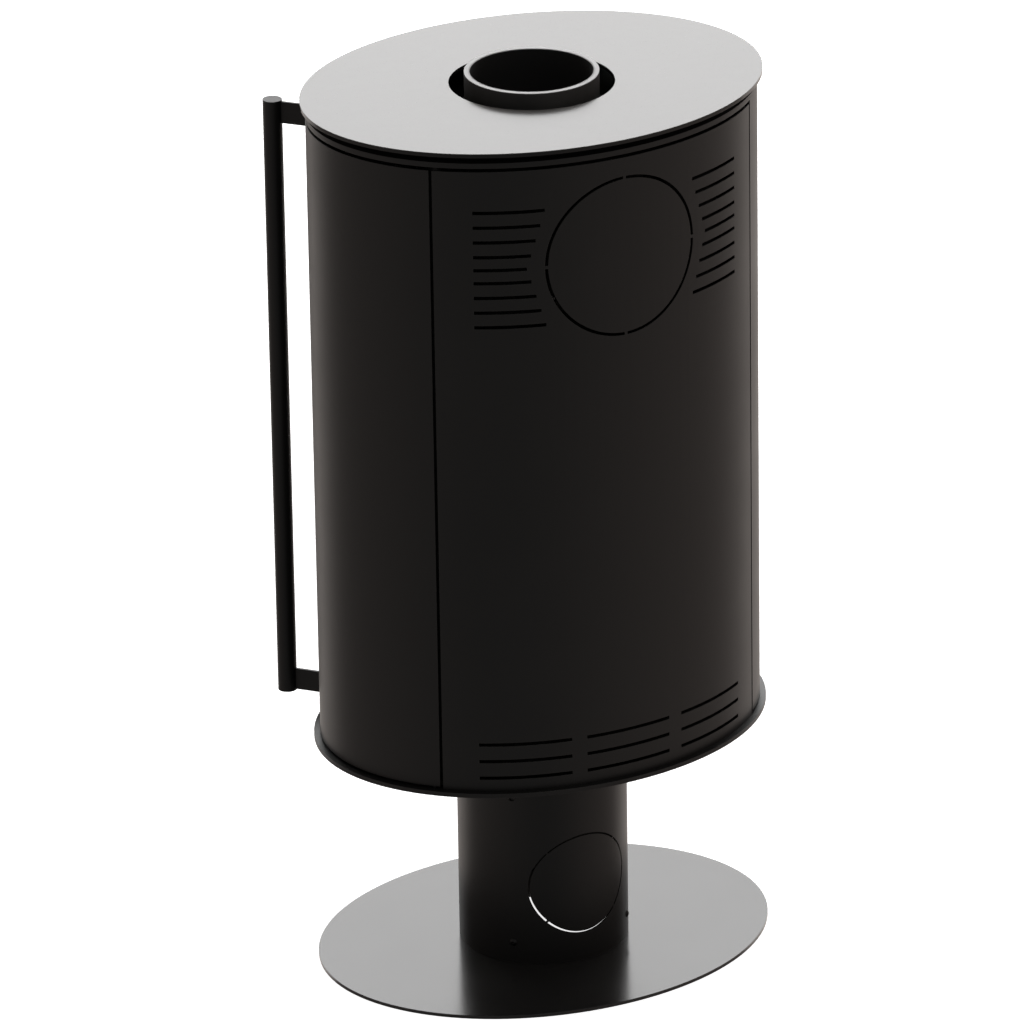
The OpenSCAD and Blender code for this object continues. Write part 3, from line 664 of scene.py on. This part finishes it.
def stage_mesh(name, vertices, faces, material):
    piece = mesh_piece(name, vertices, faces, material)
    piece.visible_glossy = False
    piece.visible_diffuse = False
    piece.visible_transmission = True
    piece.visible_shadow = False


def stage_ring(height):
    turns = [math.tau * i / STAGE_SIDES for i in range(STAGE_SIDES)]
    return [(STAGE_RADIUS * math.cos(turn), STAGE_RADIUS * math.sin(turn), height) for turn in turns]


def make_stage():
    edge = stage_ring(-FLOOR_DROP)
    wall_top = stage_ring(STAGE_RADIUS)
    stage_mesh("floor", edge, [tuple(range(STAGE_SIDES))],
               stage_glow("floor_paint", strength=FLOOR_GLOW, level=FLOOR_LEVEL))
    stage_mesh("backdrop", edge + wall_top, ring_faces(2, STAGE_SIDES),
               stage_glow("backdrop_paint", strength=1.0, level=0.0))


def softbox(name, azimuth, elevation, distance, width, height, radiance, colour=WHITE):
    """Area light that looks at the stove from a direction given as for the camera."""
    towards = direction(azimuth, elevation)
    data = bpy.data.lights.new(name, "AREA")
    data.shape = "RECTANGLE"
    data.size = width
    data.size_y = height
    data.energy = radiance * math.pi * width * height
    data.color = colour
    lamp = bpy.data.objects.new(name, data)
    lamp.location = Vector((0, 0, LIGHT_AIM)) + towards * distance
    lamp.rotation_mode = "QUATERNION"
    lamp.rotation_quaternion = towards.to_track_quat("Z", "Y")
    bpy.context.scene.collection.objects.link(lamp)


def side_glow(tree, azimuth, start, strength):
    """World light that grows towards one low direction, given as for the camera."""
    place = tree.nodes.new("ShaderNodeTexCoord")
    towards = tree.nodes.new("ShaderNodeVectorMath")
    towards.operation = "DOT_PRODUCT"
    tree.links.new(place.outputs["Generated"], towards.inputs[0])
    towards.inputs[1].default_value = direction(azimuth, LOW_LIGHT)
    grow = tree.nodes.new("ShaderNodeMapRange")
    grow.interpolation_type = "SMOOTHSTEP"
    for name, number in (("From Min", start), ("From Max", 1.0), ("To Min", 0.0), ("To Max", strength)):
        grow.inputs[name].default_value = number
    tree.links.new(towards.outputs["Value"], grow.inputs["Value"])
    light = tree.nodes.new("ShaderNodeBackground")
    light.inputs["Color"].default_value = (*GLOW_COLOUR, 1)
    tree.links.new(grow.outputs["Result"], light.inputs["Strength"])
    return light


def make_world():
    """A dim room, a little lighter and warmer low down at both sides of the camera's view."""
    world = bpy.data.worlds.new("studio")
    world.use_nodes = True
    tree = world.node_tree
    room = tree.nodes["Background"]
    room.inputs["Color"].default_value = (*ROOM_COLOUR, 1)
    room.inputs["Strength"].default_value = ROOM_LIGHT
    last = room
    for glow in SIDE_GLOWS:
        both = tree.nodes.new("ShaderNodeAddShader")
        tree.links.new(last.outputs[0], both.inputs[0])
        tree.links.new(side_glow(tree, **glow).outputs[0], both.inputs[1])
        last = both
    tree.links.new(last.outputs[0], tree.nodes["World Output"].inputs["Surface"])
    bpy.context.scene.world = world


def make_lights():
    softbox("far_softbox", AWAY_FROM_CAMERA, 30, distance=6.0, width=9.0, height=4.2, radiance=3.45)
    softbox("floor_bounce", AWAY_FROM_CAMERA, LOW_LIGHT, distance=5.0, width=12.0, height=4.0, radiance=0.6,
            colour=BOUNCE_COLOUR)
    softbox("near_softbox", CAMERA_AZIMUTH + 50, 55, distance=6.0, width=3.0, height=3.0, radiance=0.8)
    bpy.context.scene.view_settings.view_transform = "Standard"


make_camera()
paint_cad()
make_seals()
make_grip()
make_stage()
make_world()
make_lights()
